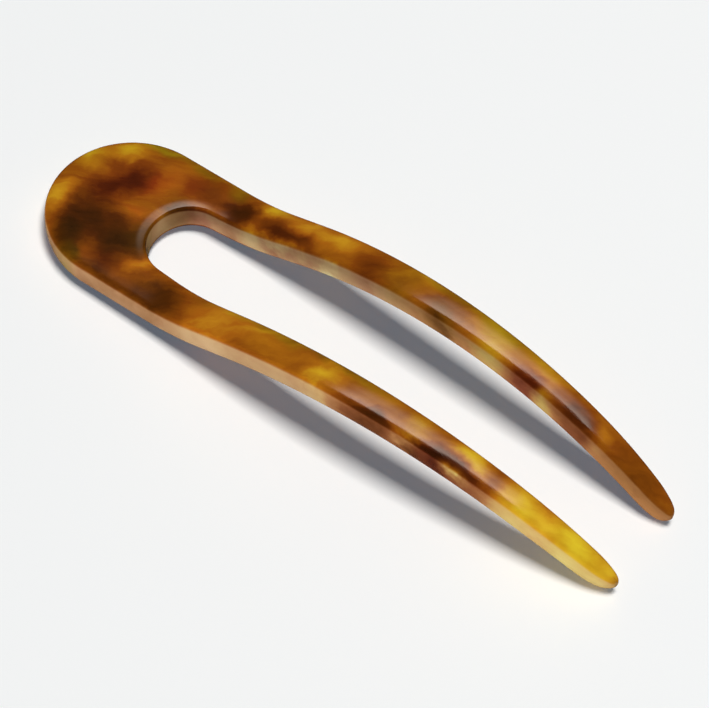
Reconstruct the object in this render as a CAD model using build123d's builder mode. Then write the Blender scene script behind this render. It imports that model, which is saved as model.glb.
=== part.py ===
from build123d import *
from math import atan, cos, degrees, radians, tan
import os

# French hair pin: one U-shaped piece of cellulose acetate. A broad round head carries two long
# prongs with a slot between them. The blank is sawn from flat sheet, warmed and bent, and then
# tumbled until every edge is round: the head lies almost flat with its end on the table, the neck
# turns up, and the prongs go over a long arch and come down to the table at their tips.
#
# Lengths are in millimetres and angles in degrees. The pin lies on the XY plane, +X runs from the
# head to the tips, and the XZ plane halves it. The origin is under the middle of its length.

# Sheet and overall size
LENGTH = 112.0
HEAD_WIDTH = 26.8
THICKNESS = 5.0
EDGE_RADIUS = 1.5

# Outline of the blank, seen from above; what ends in AT is measured from the head's end
HEAD_ROUND = 14.4
HEAD_BRIDGE = 19.6
SLOT_END_WIDTH = 12.8
SLOT_WIDTH = 14.9
SLOT_WIDEST_AT = 56.0
FLANK_ENDS_AT = 43.0
TIP_ROUND = 4.0
TIP_GAP = 11.5
PRONG_WIDTH = 3.8
TIP_WIDTH = 2.9

# Bends, seen from the side, along the middle of the sheet
HEAD_FLAT = 27.0
HEAD_TILT = 4.0
RISE_ANGLE = 20.5
NECK_RADIUS = 35.0
RAMP_LENGTH = 7.0

# The blank runs on past the tips, and the bent strip past the head, so that they cut cleanly
OVERRUN = 0.5

head_end = (-LENGTH / 2, 0, 0)
half_head = HEAD_WIDTH / 2

with BuildPart() as hair_pin:
    # The blank: half an outline from the head's end round to the slot's end, and its mirror image
    with BuildSketch(Plane(origin=head_end)):
        with BuildLine():
            EllipticalCenterArc((HEAD_ROUND, 0), HEAD_ROUND, half_head, start_angle=90, arc_size=90)
            flank = Line((HEAD_ROUND, half_head), (FLANK_ENDS_AT, half_head))
            outer_side = TangentArc(
                flank @ 1,
                (LENGTH - TIP_ROUND, TIP_GAP / 2 + PRONG_WIDTH),
                tangent=flank % 1,
            )

            # The slot's round end meets two long arcs that widen the slot and narrow it again
            slot_end_radius = SLOT_END_WIDTH / 2
            slot_middle = HEAD_BRIDGE + slot_end_radius
            widest = (SLOT_WIDEST_AT, SLOT_WIDTH / 2)
            flare = 2 * degrees(atan((widest[1] - slot_end_radius) / (widest[0] - slot_middle)))
            slot_end = CenterArc((slot_middle, 0), slot_end_radius, 180, flare - 90)
            widening = TangentArc(slot_end @ 1, widest, tangent=slot_end % 1)
            inner_side = TangentArc(
                widening @ 1,
                (LENGTH - TIP_ROUND, TIP_GAP / 2),
                tangent=widening % 1,
            )

            # Each tip narrows evenly about the prong's own middle line
            lean = outer_side % 1 + inner_side % 1
            tip_run = (TIP_ROUND + OVERRUN) / lean.X
            tip = (outer_side @ 1 + inner_side @ 1) / 2 + lean * tip_run
            half_tip = Vector(0, TIP_WIDTH / 2)
            outer_tip = TangentArc(outer_side @ 1, tip + half_tip, tangent=outer_side % 1)
            inner_tip = TangentArc(inner_side @ 1, tip - half_tip, tangent=inner_side % 1)
            Line(outer_tip @ 1, inner_tip @ 1)
            mirror(about=Plane.XZ)
        make_face()
    extrude(amount=LENGTH / 2, both=True)

    # The bent sheet seen from the side: its middle line, thickened to both sides, which gives the
    # tips their full round nose. The head's rounded lower rim and both noses touch the table.
    rim_height = (THICKNESS / 2 - EDGE_RADIUS) / cos(radians(HEAD_TILT))
    rim_height += EDGE_RADIUS * (1 - tan(radians(HEAD_TILT)))
    with BuildSketch(Plane(origin=head_end, x_dir=(1, 0, 0), z_dir=(0, -1, 0))):
        with BuildLine():
            tilt = Vector(1, tan(radians(HEAD_TILT)))
            at_end = Vector(0, rim_height)
            head = Line(at_end - tilt * THICKNESS, at_end + tilt * HEAD_FLAT)
            neck = JernArc(head @ 1, head % 1, NECK_RADIUS, RISE_ANGLE - HEAD_TILT)
            ramp = Line(neck @ 1, neck @ 1 + neck % 1 * RAMP_LENGTH)
            nose = (LENGTH - THICKNESS / 2, THICKNESS / 2)
            TangentArc(ramp @ 1, nose, tangent=ramp % 1)
            offset(amount=THICKNESS / 2)
        make_face()
    extrude(amount=HEAD_WIDTH, both=True, mode=Mode.INTERSECT)

    # Every rim is rounded; what lies across the sheet or through it only joins two smooth faces
    edges = hair_pin.edges()
    fillet(edges - edges.filter_by(Axis.Y) - edges.filter_by(Axis.Z), radius=EDGE_RADIUS)

hair_pin.part.label = "hair_pin"
os.makedirs("parts", exist_ok=True)
export_step(hair_pin.part, "parts/hair_pin.step")
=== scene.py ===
import math

import bpy
import numpy as np
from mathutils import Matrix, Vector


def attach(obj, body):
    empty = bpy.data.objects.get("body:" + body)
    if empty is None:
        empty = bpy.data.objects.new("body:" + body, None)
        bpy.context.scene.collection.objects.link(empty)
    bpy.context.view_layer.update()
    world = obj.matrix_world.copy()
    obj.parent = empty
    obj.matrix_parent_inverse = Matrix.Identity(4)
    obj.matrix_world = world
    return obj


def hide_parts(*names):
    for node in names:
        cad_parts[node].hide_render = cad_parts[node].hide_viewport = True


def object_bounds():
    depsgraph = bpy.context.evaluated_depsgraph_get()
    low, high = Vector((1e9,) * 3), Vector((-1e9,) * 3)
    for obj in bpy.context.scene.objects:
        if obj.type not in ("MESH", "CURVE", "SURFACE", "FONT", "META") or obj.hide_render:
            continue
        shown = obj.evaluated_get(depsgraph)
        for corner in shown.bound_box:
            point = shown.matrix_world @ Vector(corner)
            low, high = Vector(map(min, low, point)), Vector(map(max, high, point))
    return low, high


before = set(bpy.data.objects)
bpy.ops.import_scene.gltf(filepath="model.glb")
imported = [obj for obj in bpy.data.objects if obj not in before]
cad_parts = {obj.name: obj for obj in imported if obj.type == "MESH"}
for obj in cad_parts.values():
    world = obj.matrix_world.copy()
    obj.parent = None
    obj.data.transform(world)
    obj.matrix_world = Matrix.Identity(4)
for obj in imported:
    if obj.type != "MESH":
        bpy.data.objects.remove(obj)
cad_low, cad_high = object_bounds()

# Hair pin
#
# One piece of cellulose acetate, sawn from a sheet of mixed amber, red-brown and near-black dough,
# warmed and bent over a former, and then tumbled until its rims are round and its faces shine.
# Lengths here are in millimetres; along the pin they are measured from the head's end.

MM = 0.001
PIN_LENGTH = (cad_high.x - cad_low.x) / MM
HEAD_HALF_WIDTH = (cad_high.y - cad_low.y) / MM / 2
SHEET = 5.1

# Sawn outline, seen from above
HEAD_ROUND = 14.5
FLANK_END = 43.4
FLANK_RADIUS = 581.0
TAPER_START = 95.3
TAPER_RADIUS = 146.0
SLOT_START = 18.9
SLOT_END_RADIUS = 6.4
SLOT_WIDEST = (56.0, 7.45)
SLOT_RADIUS = 835.0
SLOT_TAPER_RADIUS = 600.0
SHEET_END = PIN_LENGTH - 0.2
TIP_CAP = 4.9

# Bends, seen from the side, along the middle of the sheet
REST_HEIGHT = 2.4
HEAD_FLAT = 27.0
HEAD_TILT = math.radians(3.6)
RISE = math.radians(20.7)
NECK_RADIUS = 33.3
RAMP_LENGTH = 6.5
ARCH_RADIUS = 76.8

# Rims and faces as the tumbling leaves them
WALL_LEAN = math.radians(9.0)
RIM_RADIUS = 0.95
CROWN_RADIUS = 11.0
CROWN_SLOPE = math.radians(12.0)
SLOT_END_RIM_RADIUS = 0.5
SLOT_END_CROWN_RADIUS = 9.0
SLOT_END_CROWN_SLOPE = math.radians(10.0)
SLOT_END_FADE = 14.0
NOSE_REACH = 1.8

# The most of the prong's width that a rim, a rim with its crown, and a wall's bulge may take
RIM_SHARE = 0.35
CROWN_SHARE = 0.44
BULGE_SHARE = 0.03
# The most of half the sheet that rim and crown may take at the thin nose
DROP_SHARE = 0.98


def arc_fall(run, radius, lean=0.0):
    """How far a long arc has fallen sideways after a run: the height of a circle of that radius
    where its slope is the lean, less its height at the run; nothing before the run starts."""
    run = np.clip(run, 0, None)
    across = np.clip(run + radius * math.sin(lean), None, radius * 0.9999)
    return radius * math.cos(lean) - np.sqrt(radius ** 2 - across ** 2)


def outer_half_width(x):
    """Half the pin's width: a quarter ellipse round the head, a straight flank, then an arc that
    leans in by run over radius, and from the taper on a tighter arc that starts with that lean."""
    head = HEAD_HALF_WIDTH * np.sqrt(np.clip(1 - (x / HEAD_ROUND - 1) ** 2, 0, None))
    flank = HEAD_HALF_WIDTH - arc_fall(x - FLANK_END, FLANK_RADIUS)
    lean = (TAPER_START - FLANK_END) / FLANK_RADIUS
    run = x - TAPER_START
    taper = arc_fall(run, TAPER_RADIUS, lean) - arc_fall(run, FLANK_RADIUS, lean)
    return np.where(x < HEAD_ROUND, head, flank - np.where(run > 0, taper, 0))


slot_middle = SLOT_START + SLOT_END_RADIUS
slot_flare = 2 * math.atan((SLOT_WIDEST[1] - SLOT_END_RADIUS) / (SLOT_WIDEST[0] - slot_middle))
slot_corner = slot_middle - SLOT_END_RADIUS * math.sin(slot_flare)
slot_widening_radius = (SLOT_WIDEST[0] - slot_corner) / math.sin(slot_flare)


def slot_half_width(x):
    """Half the slot's width: a circle at its end, an arc that widens it to its widest place, and
    an arc that narrows it again, which a flatter arc slows down beside the tips."""
    end = np.sqrt(np.clip(SLOT_END_RADIUS ** 2 - (x - slot_middle) ** 2, 0, None))
    widening = SLOT_WIDEST[1] - arc_fall(SLOT_WIDEST[0] - x, slot_widening_radius)
    narrowing = SLOT_WIDEST[1] - arc_fall(x - SLOT_WIDEST[0], SLOT_RADIUS)
    side = np.where(x < SLOT_WIDEST[0], widening, narrowing)
    return np.where(x < slot_corner, end, side) + arc_fall(x - TAPER_START, SLOT_TAPER_RADIUS)


neck_end = HEAD_FLAT + NECK_RADIUS * (math.sin(RISE) - math.sin(HEAD_TILT))
ramp_end = neck_end + RAMP_LENGTH * math.cos(RISE)
flat_height = REST_HEIGHT + HEAD_FLAT * math.tan(HEAD_TILT)
neck_height = flat_height + NECK_RADIUS * (math.cos(HEAD_TILT) - math.cos(RISE))
ramp_height = neck_height + RAMP_LENGTH * math.sin(RISE)
arch_middle = ramp_end + ARCH_RADIUS * math.sin(RISE)
arch_centre_height = ramp_height - ARCH_RADIUS * math.cos(RISE)


def bend(x):
    """Height and slope of the sheet's middle: a tilted line under the head, the neck's arc up to
    the ramp's slope, the straight ramp, and the arch's circle down to the tips."""
    in_neck = np.clip(x - HEAD_FLAT + NECK_RADIUS * math.sin(HEAD_TILT), 0, NECK_RADIUS * 0.999)
    in_arch = np.clip(x - arch_middle, -ARCH_RADIUS * 0.999, ARCH_RADIUS * 0.999)
    neck = flat_height + NECK_RADIUS * math.cos(HEAD_TILT)
    neck = neck - np.sqrt(NECK_RADIUS ** 2 - in_neck ** 2)
    arch = arch_centre_height + np.sqrt(ARCH_RADIUS ** 2 - in_arch ** 2)
    part = [x < HEAD_FLAT, x < neck_end, x < ramp_end]
    height = np.select(part, [
        REST_HEIGHT + x * math.tan(HEAD_TILT),
        neck,
        neck_height + (x - neck_end) * math.tan(RISE),
    ], arch)
    slope = np.select(part, [
        np.full_like(x, HEAD_TILT),
        np.arcsin(in_neck / NECK_RADIUS),
        np.full_like(x, RISE),
    ], -np.arcsin(in_arch / ARCH_RADIUS))
    return height, slope


def outlines(round_head=84, along_prong=150, round_tip=26):
    """Matching points of the outer outline and the slot's, from the near tip round the head to the
    far tip. Round the head both lie on one ray from the middle of the slot's round end, and the
    outer one is where the ray meets the head's ellipse or, beyond that, the straight flank. Equal
    runs follow along the prongs, and at the tips the run is the cap times the sine of an even turn,
    over which the prong's half width shrinks by the cosine. Returns both lines and their outward
    normals."""
    turn = np.linspace(0, math.pi / 2 - slot_flare, round_head, endpoint=False)
    ray = np.c_[-np.cos(turn), np.sin(turn)]
    back = (slot_middle - HEAD_ROUND) / HEAD_ROUND
    squared = (ray[:, 0] / HEAD_ROUND) ** 2 + (ray[:, 1] / HEAD_HALF_WIDTH) ** 2
    halved = back * ray[:, 0] / HEAD_ROUND
    to_head = (np.sqrt(halved ** 2 + squared * (1 - back ** 2)) - halved) / squared
    to_flank = HEAD_HALF_WIDTH / np.maximum(ray[:, 1], 1e-9)
    on_flank = slot_middle + to_head * ray[:, 0] > HEAD_ROUND
    head_x = slot_middle + np.where(on_flank, to_flank, to_head) * ray[:, 0]
    prong_x = np.linspace(0, 1, along_prong, endpoint=False)
    cap_start = SHEET_END - TIP_CAP
    tip_turn = np.linspace(0, math.pi / 2, round_tip + 1)
    cap_x = cap_start + TIP_CAP * np.sin(tip_turn)
    flank_corner = slot_middle - HEAD_HALF_WIDTH * math.tan(slot_flare)
    outer_x = np.r_[head_x, flank_corner + (cap_start - flank_corner) * prong_x, cap_x]
    slot_x = np.r_[
        slot_middle + SLOT_END_RADIUS * ray[:, 0],
        slot_corner + (cap_start - slot_corner) * prong_x,
        cap_x,
    ]
    squeeze = np.r_[np.ones(round_head + along_prong), np.cos(tip_turn)]
    outer = np.c_[outer_x, outer_half_width(outer_x)]
    slot = np.c_[slot_x, slot_half_width(slot_x)]

    def whole(half):
        return np.r_[half[::-1] * [1, -1], half[1:]]

    def normals(line, side):
        tangent = np.gradient(line, axis=0)
        normal = np.c_[-tangent[:, 1], tangent[:, 0]] * side
        return normal / np.linalg.norm(normal, axis=1, keepdims=True)

    outer_normal, slot_normal = normals(whole(outer), 1), normals(whole(slot), -1)
    middle = (outer[:, 1] + slot[:, 1]) / 2
    outer[:, 1] = middle + (outer[:, 1] - middle) * squeeze
    slot[:, 1] = middle + (slot[:, 1] - middle) * squeeze
    return whole(outer), whole(slot), outer_normal, slot_normal


def edge_curve(width, half_sheet, rim_radius, radius, slope, round_rim=9, over_crown=6):
    """The curve from the wall to the level face, one row for each station. The wall bulges as a
    parabola: it stands out from the outline at its middle by as much as it is set in where the rim
    starts, a quarter of the height between them times the tangent of its lean there. The rim turns
    from that lean to the crown's slope: inset is its radius times the cosine of the lean less that
    of the turn, and drop its radius times the cosine of the slope less the sine of the turn. The
    crown is a wide arc from that slope to level. All shrink where the prong is narrow. Returns how
    far in from the outline, and how far down from the face, each point lies."""
    rim_in, crown_in = np.cos(WALL_LEAN) - np.sin(slope), np.sin(slope)
    rim = np.minimum(rim_radius, RIM_SHARE * width / rim_in)
    crown = np.minimum(radius, (CROWN_SHARE * width - rim * rim_in) / crown_in)
    rim_turn = WALL_LEAN + (math.pi / 2 - slope - WALL_LEAN) * np.linspace(0, 1, round_rim)
    crown_turn = slope * np.linspace(1, 0, over_crown + 1)[1:]
    inset = np.hstack([
        rim * (np.cos(WALL_LEAN) - np.cos(rim_turn)),
        rim * rim_in + crown * (crown_in - np.sin(crown_turn)),
    ])
    drop = np.hstack([
        rim * (np.cos(slope) - np.sin(rim_turn)) + crown * (1 - np.cos(slope)),
        crown * (1 - np.cos(crown_turn)),
    ])
    drop *= np.minimum(1, DROP_SHARE * half_sheet / np.maximum(drop[:, :1], 1e-9))
    bulge = (half_sheet - drop[:, :1]) * math.tan(WALL_LEAN) / 4
    return inset + np.minimum(bulge, BULGE_SHARE * width), drop


def pin_skin(over_face=5, up_wall=4):
    """The pin's skin as rings of points, one ring for each station of the outlines: up the outer
    wall, over its rim and crown, across the face, down by the slot's crown and rim, and back the
    same way underneath. Round the slot's end rim and crown are tighter and less steep, and both
    fade to the prongs' own. Over the nose the sheet's height follows a quarter ellipse. The flat
    section is then carried onto the bent sheet: a point moves by its height along the sheet's own
    normal. Returns the bent rings and the same points in the flat sheet, as run, side and height."""
    outer, slot, outer_normal, slot_normal = outlines()
    chord = outer - slot
    width = np.minimum((chord * outer_normal).sum(axis=1), -(chord * slot_normal).sum(axis=1))
    width = width[:, None]
    nose = np.clip((outer[:, :1] + slot[:, :1]) / 2 - (SHEET_END - NOSE_REACH), 0, NOSE_REACH)
    half_sheet = SHEET / 2 * np.sqrt(np.clip(1 - (nose / NOSE_REACH) ** 2, 0, 1))
    fade = np.clip((slot[:, :1] - slot_corner) / SLOT_END_FADE, 0, 1)
    near_end = 1 - fade * fade * (3 - 2 * fade)
    outer_in, outer_drop = edge_curve(
        width, half_sheet, RIM_RADIUS, CROWN_RADIUS, np.full_like(width, CROWN_SLOPE))
    slot_in, slot_drop = edge_curve(
        width, half_sheet,
        RIM_RADIUS + (SLOT_END_RIM_RADIUS - RIM_RADIUS) * near_end,
        CROWN_RADIUS + (SLOT_END_CROWN_RADIUS - CROWN_RADIUS) * near_end,
        CROWN_SLOPE + (SLOT_END_CROWN_SLOPE - CROWN_SLOPE) * near_end)

    outer_rim = outer[:, None] - outer_normal[:, None] * outer_in[..., None]
    slot_rim = slot[:, None] - slot_normal[:, None] * slot_in[..., None]
    outer_rise, slot_rise = half_sheet - outer_drop, half_sheet - slot_drop
    across = np.linspace(0, 1, over_face + 2)[1:-1][:, None]
    face = outer_rim[:, -1:] * (1 - across) + slot_rim[:, -1:] * across
    face_rise = np.repeat(half_sheet, over_face, axis=1)
    up = np.linspace(-1, 1, up_wall + 2)[1:-1]
    bulge = 2 * up[:, None] ** 2 - 1
    outer_wall = outer[:, None] - outer_normal[:, None] * outer_in[:, :1, None] * bulge
    slot_wall = slot[:, None] - slot_normal[:, None] * slot_in[:, :1, None] * bulge

    plan = np.concatenate([
        outer_wall, outer_rim, face, slot_rim[:, ::-1],
        slot_wall, slot_rim, face[:, ::-1], outer_rim[:, ::-1],
    ], axis=1)
    height = np.hstack([
        outer_rise[:, :1] * up, outer_rise, face_rise, slot_rise[:, ::-1],
        -slot_rise[:, :1] * up, -slot_rise, -face_rise, -outer_rise[:, ::-1],
    ])
    middle, slope = bend(plan[..., 0])
    bent = np.stack([
        plan[..., 0] - height * np.sin(slope) - PIN_LENGTH / 2,
        plan[..., 1],
        middle + height * np.cos(slope),
    ], axis=-1)
    return bent, np.concatenate([plan, height[..., None]], axis=-1)


def skin_mesh(name, rings, flat_rings):
    """A closed mesh of quads between neighbouring rings; each end ring is one point, a pole, which
    the ring beside it meets in triangles. Every point also keeps its place in the flat sheet."""
    count, around = rings.shape[0] - 2, rings.shape[1]

    def listed(whole):
        return np.concatenate([whole[1:-1].reshape(-1, 3), whole[[0, -1]].mean(axis=1)])

    place = np.arange(count * around).reshape(count, around)
    here, there = place[:-1], place[1:]
    quads = np.stack([here, np.roll(here, -1, 1), np.roll(there, -1, 1), there], axis=-1)
    quads = quads.reshape(-1, 4)
    first, last = count * around, count * around + 1
    near = np.stack([np.full(around, first), np.roll(place[0], -1), place[0]], axis=-1)
    far = np.stack([np.full(around, last), place[-1], np.roll(place[-1], -1)], axis=-1)
    mesh = bpy.data.meshes.new(name)
    mesh.from_pydata(listed(rings) * MM, [], [*quads.tolist(), *near.tolist(), *far.tolist()])
    in_sheet = mesh.attributes.new("place_in_sheet", "FLOAT_VECTOR", "POINT")
    in_sheet.data.foreach_set("vector", listed(flat_rings).astype(np.float32).ravel())
    mesh.polygons.foreach_set("use_smooth", np.ones(len(mesh.polygons), bool))
    mesh.update()
    return mesh


bent_rings, flat_rings = pin_skin()
bent_rings[..., 2] -= bent_rings[..., 2].min()
hair_pin = bpy.data.objects.new(
    "tortoiseshell_pin", skin_mesh("tortoiseshell_pin", bent_rings, flat_rings))
bpy.context.scene.collection.objects.link(hair_pin)
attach(hair_pin, "root")
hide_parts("hair_pin")


def linear(hex_colour):
    """An sRGB hex colour as the linear colour, with alpha, that the shader works in."""
    parts = np.array([int(hex_colour[i:i + 2], 16) for i in (1, 3, 5)]) / 255
    low, high = parts / 12.92, ((parts + 0.055) / 1.055) ** 2.4
    return (*np.where(parts <= 0.04045, low, high), 1.0)


def add_node(tree, kind, settings=None, links=None):
    """Adds a node. Settings are named attributes or, where there is no such attribute, the values
    of inputs by name or number; links are the sockets that feed inputs by name or number."""
    node = tree.nodes.new(kind)
    for name, value in (settings or {}).items():
        if isinstance(name, str) and hasattr(node, name):
            setattr(node, name, value)
        else:
            node.inputs[name].default_value = value
    for name, socket in (links or {}).items():
        tree.links.new(socket, node.inputs[name])
    return node


# The mixed dough from its thinnest colour to its deepest: light goes far into the yellow parts and
# comes back, and the dark parts swallow it. A greenness of one turns the hue towards green by the
# last value.
DEPTHS_OF_COLOUR = ["#E3C32D", "#CF9E1E", "#B06C12", "#85430A", "#542304", "#210E01"]
PLAIN_DEPTH = 0.54
GREENER_TURN = 0.04

# The clouds in the sheet: where each lies along and across it, its half length, half width and turn
# in degrees, by how much it deepens the colour at its middle, and how green it is, or how red where
# that is negative
CLOUDS = [
    # Head
    (3.4, -4.6, 3.8, 4.6, 20, -0.48, -0.2),
    (2.8, 4.8, 3.2, 4.0, -25, -0.32, 0.5),
    (6.8, 8.6, 5.0, 3.0, 38, -0.36, 0.3),
    (11.0, 12.4, 7.0, 2.2, 10, 0.02, 1.8),
    (10.8, 4.6, 6.2, 5.0, 25, 0.42, -0.3),
    (8.8, 0.6, 6.4, 3.6, 0, 0.36, -0.2),
    (10.2, -5.4, 9.4, 6.4, -8, 0.54, 0.3),
    (17.2, -5.4, 5.0, 5.0, 0, 0.46, 0.4),
    (9.4, -9.8, 4.8, 3.8, -25, 0.46, 0.5),
    (17.4, -9.8, 4.4, 3.4, 10, 0.28, 0.0),
    (17.6, -12.6, 10.4, 2.6, 0, 0.26, 0.2),
    (11.4, -12.0, 4.0, 2.0, -10, 0.12, 1.0),
    (15.2, 0.2, 3.0, 1.8, 8, -0.12, -0.5),
    (19.8, -3.0, 4.0, 5.4, 0, 0.26, 0.7),
    (20.8, 3.4, 3.6, 4.2, 0, 0.10, 0.8),
    (15.2, 6.6, 3.4, 6.0, -12, -0.12, -0.5),
    (22.2, 4.4, 4.8, 2.8, 20, 0.36, -0.4),
    (19.4, 8.8, 4.0, 4.0, 0, 0.10, -0.3),
    (22.0, -7.4, 3.8, 2.4, 36, -0.24, -0.4),
    (19.0, 12.4, 6.0, 2.0, 0, 0.08, 1.0),
    (23.4, 9.6, 4.6, 3.6, 0, 0.18, 0.0),
    (26.0, 12.6, 3.2, 2.2, 10, 0.06, 1.0),
    (28.3, 9.2, 4.8, 4.8, -20, 0.56, 0.2),
    (34.0, 12.0, 6.0, 2.6, 6, -0.40, 0.2),
    (36.8, 8.0, 6.2, 3.0, 0, 0.36, 0.0),
    # Neck of the near prong
    (28.0, -11.2, 9.0, 4.8, 0, 0.44, 0.4),
    # Far prong
    (38.0, 6.2, 12.0, 2.5, 0, -0.50, 0.0),
    (41.0, 8.0, 6.6, 2.8, 0, 0.22, 0.0),
    (41.2, 11.2, 6.0, 3.4, -4, -0.38, -0.4),
    (46.6, 6.2, 4.2, 2.4, 0, -0.74, 0.2),
    (47.6, 11.6, 7.0, 2.8, 16, -0.40, -0.3),
    (54.8, 9.2, 4.6, 5.0, 30, 0.20, 0.0),
    (60.0, 9.6, 5.4, 4.4, 0, 0.04, 0.5),
    (63.4, 11.8, 4.6, 2.8, 0, -0.16, 0.2),
    (68.4, 8.4, 5.4, 3.4, 0, 0.24, 0.6),
    (68.5, 6.4, 3.6, 2.0, 0, 0.34, 0.2),
    (74.0, 11.8, 24.0, 2.2, -4, 0.06, 1.0),
    (74.4, 10.2, 4.0, 3.2, 0, -0.14, 0.3),
    (78.0, 9.2, 4.4, 4.8, 0, -0.28, 0.6),
    (85.0, 7.2, 6.4, 2.6, 0, 0.40, -0.3),
    (85.4, 9.8, 6.0, 3.4, 0, -0.28, 0.0),
    (87.8, 6.4, 2.6, 2.8, 0, -0.34, 0.6),
    (92.8, 7.4, 5.4, 3.6, 0, 0.38, 0.0),
    (95.6, 5.4, 3.4, 1.8, 0, 0.30, 0.0),
    (97.4, 8.0, 2.4, 2.0, 0, -0.12, 0.0),
    (105.0, 7.6, 9.6, 4.6, 0, 0.16, 0.2),
    # Near prong
    (40.4, -10.6, 9.0, 5.4, 10, -0.32, -0.5),
    (44.0, -7.8, 13.0, 2.0, 0, 0.02, 0.8),
    (46.4, -9.4, 5.0, 1.8, 25, -0.16, 0.0),
    (51.0, -10.4, 8.0, 4.0, 5, -0.14, 0.0),
    (60.0, -7.8, 15.0, 2.2, 0, 0.08, 1.3),
    (60.8, -11.0, 5.0, 3.6, 12, -0.42, 0.0),
    (70.0, -8.8, 6.4, 2.6, 0, -0.14, 0.2),
    (70.2, -13.0, 9.6, 2.6, 0, 0.52, 0.1),
    (76.6, -13.2, 3.8, 2.4, 0, 0.36, 0.2),
    (77.0, -9.6, 3.4, 4.0, 0, -0.22, 0.5),
    (82.4, -12.0, 10.4, 2.8, 3, 0.66, -0.2),
    (84.8, -13.4, 4.2, 2.4, 0, -0.80, 0.8),
    (85.6, -9.2, 5.6, 3.2, 4, -0.50, 0.1),
    (90.4, -9.4, 2.8, 3.6, 0, 0.10, 0.0),
    (94.8, -9.4, 5.6, 5.6, 0, -0.54, 0.0),
    (99.2, -8.8, 3.6, 4.8, 0, -0.42, -0.4),
    (104.4, -8.4, 7.6, 6.0, 0, -0.60, 0.2),
    (110.2, -7.4, 4.2, 4.0, 0, -0.46, -0.2),
]

# Through the sheet a cloud reaches this far. The dough is kneaded, so the clouds' edges wander by a
# few millimetres, and fine streaks run through it.
CLOUD_THROUGH = 9.0
KNEAD_SIZE = 6.0
KNEAD_SHIFT = 5.0
STREAK_LENGTH = 7.0
STREAK_WIDTH = 1.5
STREAK_TURN = math.radians(25)
STREAK_DEPTH = 0.3
# The colour gets no deeper than this, and slows down over the ease before it, so that dark clouds
# keep soft edges
DEEPEST = 1.0
DEEPEST_EASE = 0.4
# The walls carry painted light: there the depth shrinks by the first share, painted in place of the
# light that comes out through the walls, and what is light turns pale by the second, a painted
# reflection of the white floor. Each is given round the head and neck, and for the prongs past the
# change, whose start and end are places along the pin.
WALL_PAINTED_LIGHT = (0.42, 0.30)
WALL_PAINTED_REFLECTION = (0.40, 0.24)
WALL_CHANGE = (54.0, 68.0)

# Tumbled and polished acetate: smooth and hard, with the soft gloss that a barrel of pegs and wax
# leaves, so it mirrors a lamp as a bright band and not as a sharp picture
acetate = bpy.data.materials.new("tumbled_cellulose_acetate")
acetate.use_nodes = True
tree = acetate.node_tree
tree.nodes.clear()
place = add_node(tree, "ShaderNodeAttribute", {"attribute_name": "place_in_sheet"}).outputs["Vector"]
knead = add_node(tree, "ShaderNodeTexNoise", {
    "Scale": 1 / KNEAD_SIZE,
    "Detail": 4.0,
    "Roughness": 0.55,
}, {"Vector": place})
pull = add_node(tree, "ShaderNodeVectorMath", {
    "operation": "SUBTRACT",
    1: (0.5, 0.5, 0.5),
}, {0: knead.outputs["Color"]})
kneaded = add_node(tree, "ShaderNodeVectorMath", {
    "operation": "MULTIPLY_ADD",
    1: (KNEAD_SHIFT, KNEAD_SHIFT, KNEAD_SHIFT),
}, {0: pull.outputs["Vector"], 2: place}).outputs["Vector"]

streak_place = add_node(tree, "ShaderNodeMapping", {
    "vector_type": "TEXTURE",
    "Rotation": (0, 0, STREAK_TURN),
    "Scale": (STREAK_LENGTH, STREAK_WIDTH, STREAK_WIDTH * 2),
}, {"Vector": kneaded})
streak = add_node(tree, "ShaderNodeTexNoise", {
    "Scale": 1.0,
    "Detail": 4.0,
    "Roughness": 0.6,
}, {"Vector": streak_place.outputs["Vector"]})
depth = add_node(tree, "ShaderNodeMath", {
    "operation": "MULTIPLY_ADD",
    1: STREAK_DEPTH,
    2: PLAIN_DEPTH - STREAK_DEPTH / 2,
}, {0: streak.outputs["Fac"]}).outputs["Value"]
hue = add_node(tree, "ShaderNodeValue").outputs["Value"]
hue.default_value = 0.5

for along, across, length, width, turn, deeper, greener in CLOUDS:
    inside = add_node(tree, "ShaderNodeMapping", {
        "vector_type": "TEXTURE",
        "Location": (along, across, 0),
        "Rotation": (0, 0, math.radians(turn)),
        "Scale": (length, width, CLOUD_THROUGH),
    }, {"Vector": kneaded})
    distance = add_node(tree, "ShaderNodeVectorMath", {"operation": "LENGTH"}, {
        0: inside.outputs["Vector"],
    })
    cloud = add_node(tree, "ShaderNodeMapRange", {
        "interpolation_type": "SMOOTHSTEP",
        "From Min": 0.0,
        "From Max": 1.0,
        "To Min": 1.0,
        "To Max": 0.0,
    }, {"Value": distance.outputs["Value"]}).outputs["Result"]
    depth = add_node(tree, "ShaderNodeMath", {
        "operation": "MULTIPLY_ADD",
        1: deeper,
    }, {0: cloud, 2: depth}).outputs["Value"]
    if greener:
        hue = add_node(tree, "ShaderNodeMath", {
            "operation": "MULTIPLY_ADD",
            1: greener * GREENER_TURN,
        }, {0: cloud, 2: hue}).outputs["Value"]

where = add_node(tree, "ShaderNodeSeparateXYZ", links={"Vector": place})
from_middle = add_node(tree, "ShaderNodeMath", {"operation": "ABSOLUTE"}, {0: where.outputs["Z"]})
at_wall = add_node(tree, "ShaderNodeMapRange", {
    "interpolation_type": "SMOOTHSTEP",
    "From Min": SHEET / 2 - RIM_RADIUS,
    "From Max": SHEET / 2 - RIM_RADIUS / 2,
    "To Min": 1.0,
    "To Max": 0.0,
}, {"Value": from_middle.outputs["Value"]}).outputs["Result"]


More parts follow.
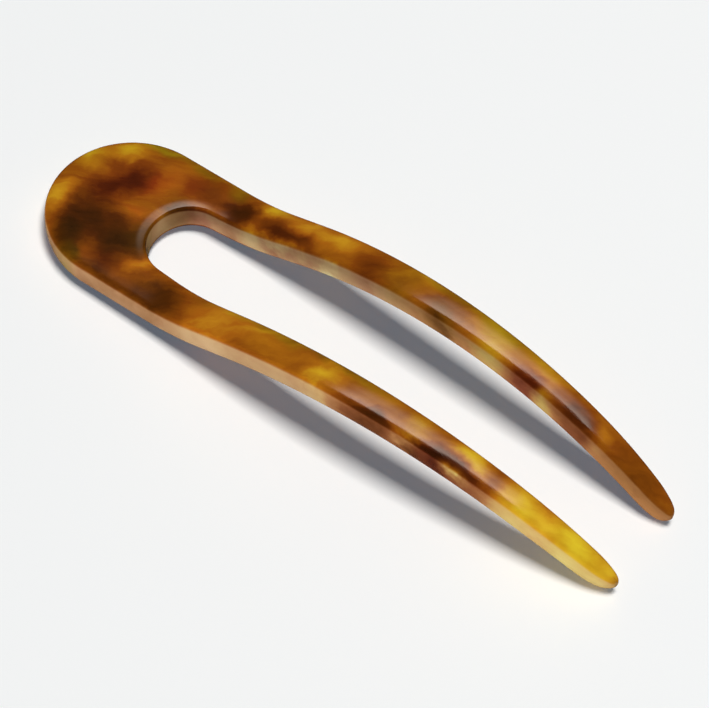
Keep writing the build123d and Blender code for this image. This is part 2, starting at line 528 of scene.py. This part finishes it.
def wall_share(by_head, along_prongs):
    """The share of painted light and painted reflection on the walls: one value round the head and
    neck that eases into the other along the prongs, and nothing on the faces."""
    share = add_node(tree, "ShaderNodeMapRange", {
        "interpolation_type": "SMOOTHSTEP",
        "From Min": WALL_CHANGE[0],
        "From Max": WALL_CHANGE[1],
        "To Min": by_head,
        "To Max": along_prongs,
    }, {"Value": where.outputs["X"]})
    return add_node(tree, "ShaderNodeMath", {"operation": "MULTIPLY"}, {
        0: share.outputs["Result"],
        1: at_wall,
    }).outputs["Value"]


def shrunk(value, share):
    """The value less its share: the value times one less the share."""
    rest = add_node(tree, "ShaderNodeMath", {"operation": "SUBTRACT", 0: 1.0}, {1: share})
    return add_node(tree, "ShaderNodeMath", {"operation": "MULTIPLY"}, {
        0: value,
        1: rest.outputs["Value"],
    }).outputs["Value"]


# Painted light on the walls: their depth shrinks in place of the light that comes out through them,
# and a painted whitish reflection pales them
depth = add_node(tree, "ShaderNodeMath", {
    "operation": "SMOOTH_MIN",
    1: DEEPEST,
    2: DEEPEST_EASE,
}, {0: shrunk(depth, wall_share(*WALL_PAINTED_LIGHT))}).outputs["Value"]
painted_reflection = shrunk(wall_share(*WALL_PAINTED_REFLECTION), depth)
purity = add_node(tree, "ShaderNodeMath", {"operation": "SUBTRACT", 0: 1.0}, {1: painted_reflection})

colours = add_node(tree, "ShaderNodeValToRGB", links={"Fac": depth})
stops = colours.color_ramp.elements
last = len(DEPTHS_OF_COLOUR) - 1
for number in range(1, last):
    stops.new(number / last)
for stop, colour in zip(stops, DEPTHS_OF_COLOUR):
    stop.color = linear(colour)
tinted = add_node(tree, "ShaderNodeHueSaturation", links={
    "Hue": hue,
    "Saturation": purity.outputs["Value"],
    "Color": colours.outputs["Color"],
})
shell = add_node(tree, "ShaderNodeBsdfPrincipled", {
    "Roughness": 0.12,
    "IOR": 1.48,
}, {"Base Color": tinted.outputs["Color"]})
add_node(tree, "ShaderNodeOutputMaterial", links={"Surface": shell.outputs["BSDF"]})
hair_pin.data.materials.append(acetate)

# Table
#
# A wide sheet of matt white paper under the pin, which takes its shadow. It gives off a little
# bluish light, in place of what a bright room sends into the shadows. Reflections leave it out, so
# the pin's walls mirror no floor; the pale sheen the floor would give them is a painted reflection
# in their colour instead.

paper = bpy.data.materials.new("matt_paper")
paper.use_nodes = True
tree = paper.node_tree
tree.nodes.clear()
matt = add_node(tree, "ShaderNodeBsdfPrincipled", {
    "Base Color": linear("#EFEEEC"),
    "Roughness": 0.9,
    "Specular IOR Level": 0.0,
    "Emission Color": linear("#BEE1FF"),
    "Emission Strength": 0.14,
})
add_node(tree, "ShaderNodeOutputMaterial", links={"Surface": matt.outputs["BSDF"]})

FLOOR_HALF = 1.5
floor_mesh = bpy.data.meshes.new("paper_floor")
corners = [(x * FLOOR_HALF, y * FLOOR_HALF, 0) for x, y in ((-1, -1), (1, -1), (1, 1), (-1, 1))]
floor_mesh.from_pydata(corners, [], [(0, 1, 2, 3)])
floor_mesh.materials.append(paper)
floor = bpy.data.objects.new("paper_floor", floor_mesh)
bpy.context.scene.collection.objects.link(floor)
floor.visible_glossy = False

# Light
#
# A softbox overhead casts the shadow. A large scrim behind it is what the faces mirror: brightest
# at its front edge, it fades to the back, and to nothing at its end by the head. A card in front,
# which lights the pin alone, lifts its near walls.


def panel(name, lean, size, energy, colour="#FFFFFF", height=2.5):
    """A flat light that faces down. The lean is how far it stands off along and across the pin for
    each unit of height, and the size is its length and width for each unit of height."""
    light = bpy.data.lights.new(name, "AREA")
    light.shape = "RECTANGLE"
    light.size, light.size_y = size[0] * height, size[1] * height
    light.energy = energy
    light.color = linear(colour)[:3]
    lamp = bpy.data.objects.new(name, light)
    lamp.location = (lean[0] * height, lean[1] * height, height)
    bpy.context.scene.collection.objects.link(lamp)
    return lamp


softbox = panel("softbox", (0.18, 0.05), (0.3, 0.26), 62.0, "#FFFDFA")
softbox.visible_glossy = False

# How fast the scrim fades to the back, and over how much of its length it fades by the head
SCRIM_FADE = 2.8
SCRIM_HEAD_FADE = 0.15
scrim = panel("scrim", (-0.085, 0.65), (0.95, 1.08), 142.0, "#FFF0E0")
scrim.visible_diffuse = False
scrim.data.use_nodes = True
tree = scrim.data.node_tree
across_scrim = add_node(tree, "ShaderNodeSeparateXYZ", links={
    "Vector": add_node(tree, "ShaderNodeNewGeometry").outputs["Parametric"],
})
to_front = add_node(tree, "ShaderNodeMath", {
    "operation": "SUBTRACT",
    0: 1.0,
}, {1: across_scrim.outputs["Y"]})
to_front = add_node(tree, "ShaderNodeMath", {
    "operation": "POWER",
    1: SCRIM_FADE,
}, {0: to_front.outputs["Value"]})
from_head = add_node(tree, "ShaderNodeMapRange", {
    "interpolation_type": "SMOOTHSTEP",
    "From Min": 0.0,
    "From Max": SCRIM_HEAD_FADE,
}, {"Value": across_scrim.outputs["X"]})
falling_off = add_node(tree, "ShaderNodeMath", {"operation": "MULTIPLY"}, {
    0: to_front.outputs["Value"],
    1: from_head.outputs["Result"],
})
tree.links.new(falling_off.outputs["Value"], tree.nodes["Emission"].inputs["Strength"])

front_card = panel("front_card", (-0.6, -2.4), (0.8, 0.8), 37.0, height=0.9)
front_card.location.z = -0.5
front_card.rotation_euler = front_card.location.to_track_quat("Z", "Y").to_euler()
front_card.visible_glossy = False
pin_alone = bpy.data.collections.new("pin_alone")
pin_alone.objects.link(hair_pin)
front_card.light_linking.receiver_collection = pin_alone
front_card.light_linking.blocker_collection = pin_alone

room = bpy.data.worlds.new("dim_room")
room.use_nodes = True
room.node_tree.nodes["Background"].inputs["Color"].default_value = linear("#FFFFFF")
room.node_tree.nodes["Background"].inputs["Strength"].default_value = 0.03
bpy.context.scene.world = room
bpy.context.scene.view_settings.view_transform = "Standard"

# Camera
#
# Above the near side, turned 37 degrees about the pin and looking 58 degrees down.

CAMERA_TURN = math.radians(37.137)
CAMERA_ELEVATION = math.radians(57.964)
CAMERA_DISTANCE = 0.60485
CAMERA_AIM = (-0.000219, 0.002683, 0.0)
FOCAL_PIXELS = 3909.9
PHOTO_WIDTH = 709

ground = np.array([-math.sin(CAMERA_TURN), math.cos(CAMERA_TURN), 0])
forward = math.cos(CAMERA_ELEVATION) * ground - math.sin(CAMERA_ELEVATION) * np.array([0, 0, 1])
camera_data = bpy.data.cameras.new("camera")
camera_data.sensor_width = 36.0
camera_data.lens = FOCAL_PIXELS / PHOTO_WIDTH * camera_data.sensor_width
camera = bpy.data.objects.new("camera", camera_data)
camera.location = np.array(CAMERA_AIM) - CAMERA_DISTANCE * forward
camera.rotation_euler = (math.pi / 2 - CAMERA_ELEVATION, 0, CAMERA_TURN)
bpy.context.scene.collection.objects.link(camera)
bpy.context.scene.camera = camera
